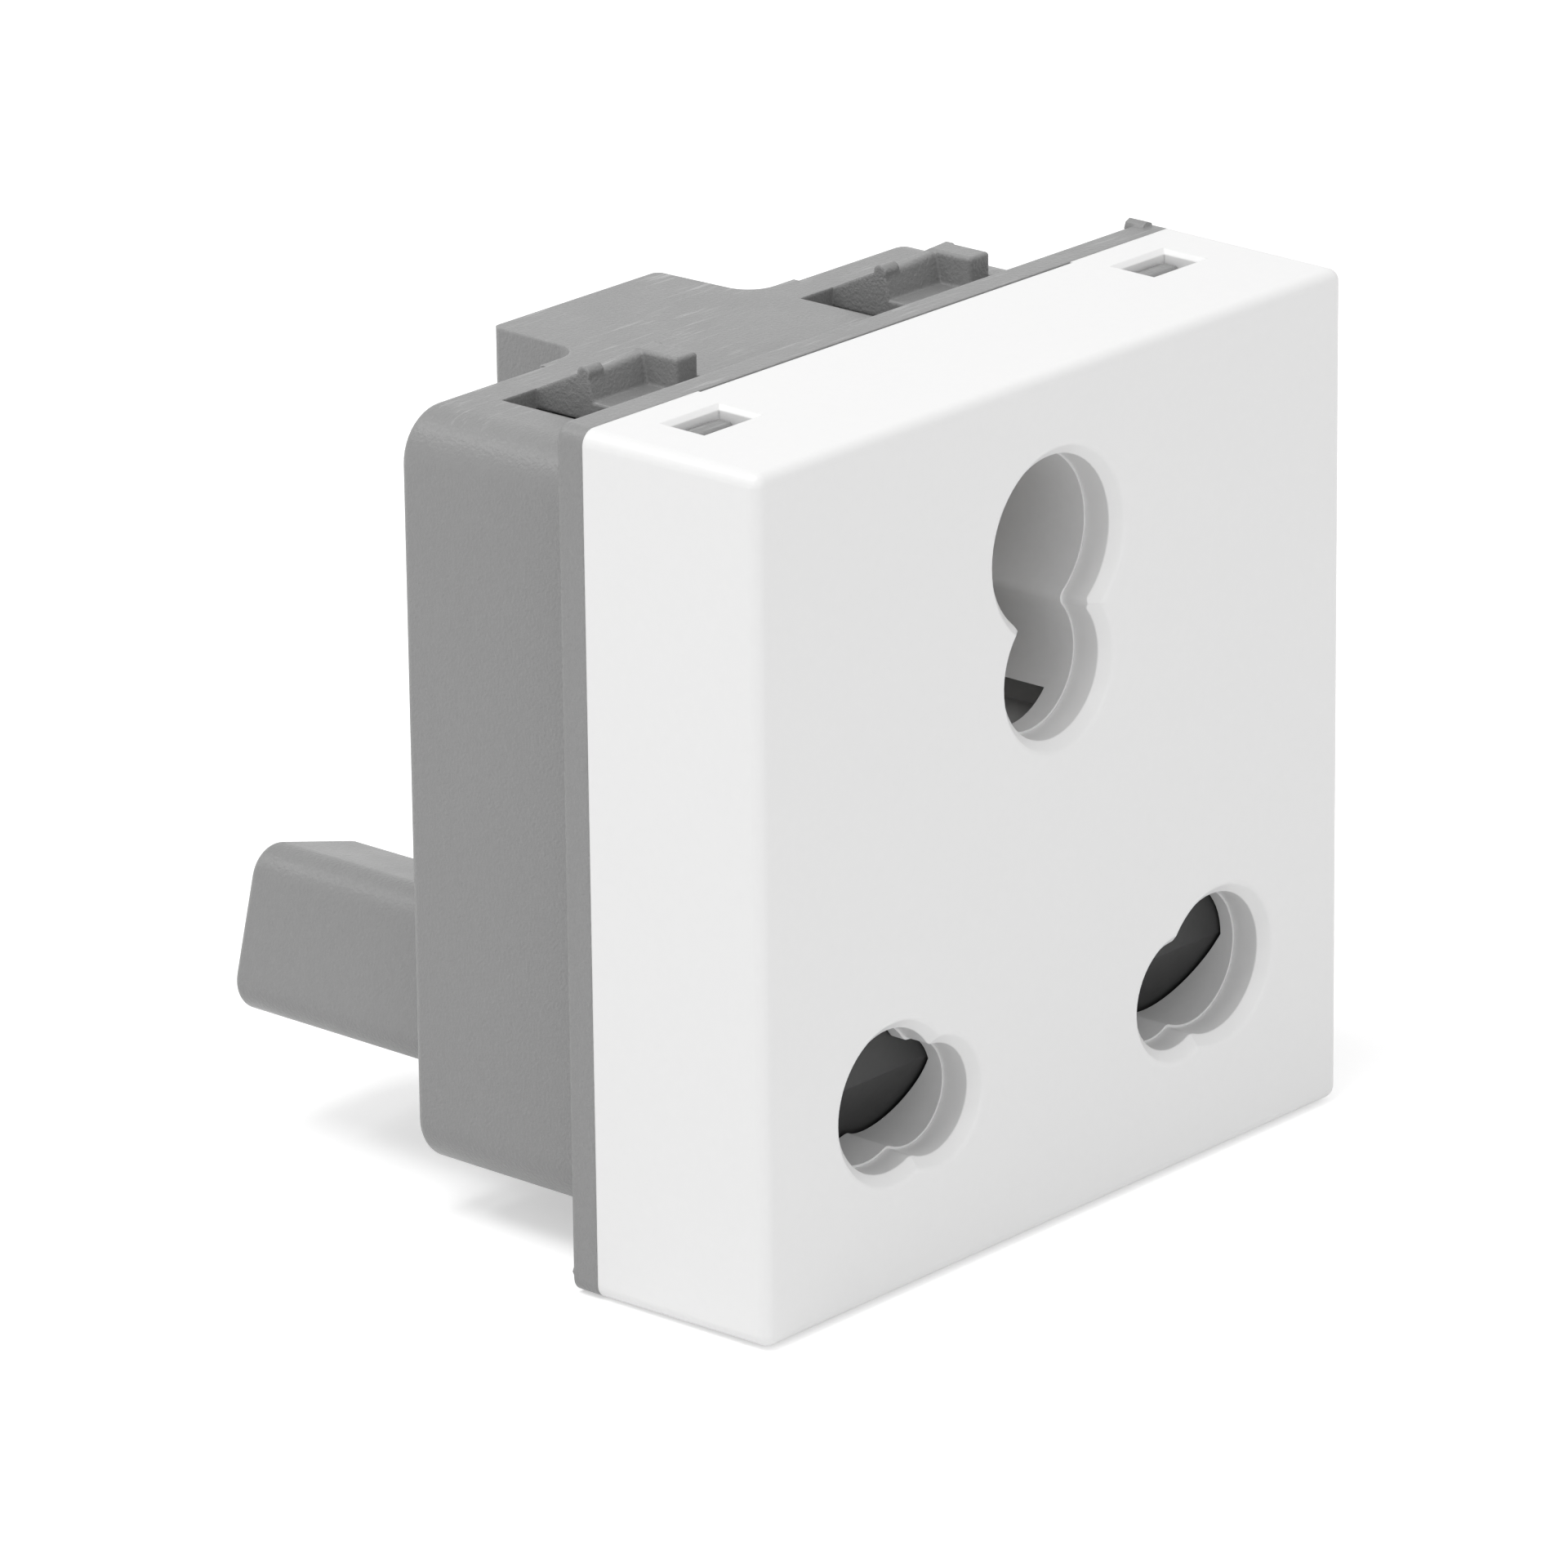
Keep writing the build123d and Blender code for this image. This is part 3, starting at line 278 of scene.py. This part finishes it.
# Shutter springs: each solid is copied into an object of its own, which is attached to the socket body
# while the solid is hidden
for side in ("left", "right"):
    solid = nodes["shutter_spring_" + side]
    coil = bpy.data.objects.new("shutter_coil_" + side, solid.data.copy())
    bpy.context.scene.collection.objects.link(coil)
    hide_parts("shutter_spring_" + side)
    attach(coil, "socket")
    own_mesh(coil)


def seen(tree):
    """1 for the camera and for what mirrors and glass show, 0 for the light itself."""
    path = tree.nodes.new("ShaderNodeLightPath")
    total = path.outputs["Is Camera Ray"]
    for name in ("Is Glossy Ray", "Is Transmission Ray"):
        larger = tree.nodes.new("ShaderNodeMath")
        larger.operation = "MAXIMUM"
        tree.links.new(total, larger.inputs[0])
        tree.links.new(path.outputs[name], larger.inputs[1])
        total = larger.outputs[0]
    return total


# Floor: pale, and lifted to white for the camera everywhere but in the object's shadow
bpy.ops.mesh.primitive_plane_add(size=floor_size, location=(0, 0, cad_box[0][2] - floor_gap))
floor = bpy.context.object
floor.name = "floor"
paint = bpy.data.materials.new("floor_paint")
paint.use_nodes = True
tree = paint.node_tree
shader = tree.nodes["Principled BSDF"]
shader.inputs["Base Color"].default_value = grey(floor_grey)
shader.inputs["Roughness"].default_value = 0.9
shader.inputs["Specular IOR Level"].default_value = 0.0
lift = tree.nodes.new("ShaderNodeEmission")
lift.inputs["Color"].default_value = (1.0, 1.0, 1.0, 1.0)
tree.links.new(spread(tree, seen(tree), 0.0, floor_lift), lift.inputs["Strength"])
both = tree.nodes.new("ShaderNodeAddShader")
tree.links.new(shader.outputs[0], both.inputs[0])
tree.links.new(lift.outputs[0], both.inputs[1])
tree.links.new(both.outputs[0], tree.nodes["Material Output"].inputs["Surface"])
floor.data.materials.append(paint)

# World: white where it is seen, an even soft grey where it lights
world = bpy.data.worlds.new("studio")
bpy.context.scene.world = world
world.use_nodes = True
tree = world.node_tree
soft = tree.nodes["Background"]
soft.inputs["Color"].default_value = (1.0, 1.0, 1.0, 1.0)
soft.inputs["Strength"].default_value = world_light
white = tree.nodes.new("ShaderNodeBackground")
white.inputs["Color"].default_value = (1.0, 1.0, 1.0, 1.0)
white.inputs["Strength"].default_value = white_level
mix = tree.nodes.new("ShaderNodeMixShader")
tree.links.new(seen(tree), mix.inputs["Fac"])
tree.links.new(soft.outputs[0], mix.inputs[1])
tree.links.new(white.outputs[0], mix.inputs[2])
tree.links.new(mix.outputs[0], tree.nodes["World Output"].inputs["Surface"])


def soft_light(name, place, size, power):
    """Square area lamp aimed at the middle of the object."""
    lamp = bpy.data.lights.new(name, "AREA")
    lamp.shape = "SQUARE"
    lamp.size = size
    lamp.energy = power
    holder = bpy.data.objects.new(name, lamp)
    bpy.context.scene.collection.objects.link(holder)
    holder.location = place
    holder.rotation_euler = (-Vector(place)).to_track_quat("-Z", "Y").to_euler()


soft_light("key", place=(-0.27, 0.05, 0.7), size=0.4, power=2.25)
soft_light("rim", place=(-0.25, 0.46, 0.53), size=0.12, power=0.5)
soft_light("side", place=(-0.7, -0.1, 0.15), size=0.5, power=0.3)
soft_light("fill", place=(-0.1, -0.8, 0.3), size=0.6, power=1.0)

# Camera at the photo's place, found from the cover's and the housing's edges
camera_data = bpy.data.cameras.new("camera")
camera_data.sensor_width = 36.0
camera_data.lens = 237.68
camera_data.clip_start = 0.01
camera_data.clip_end = 10.0
camera = bpy.data.objects.new("camera", camera_data)
bpy.context.scene.collection.objects.link(camera)
camera.location = (-0.373505, -0.324430, 0.172858)
camera.rotation_euler = (1.231209, 0.011509, -0.851089)
bpy.context.scene.camera = camera

bpy.context.scene.view_settings.view_transform = "Standard"
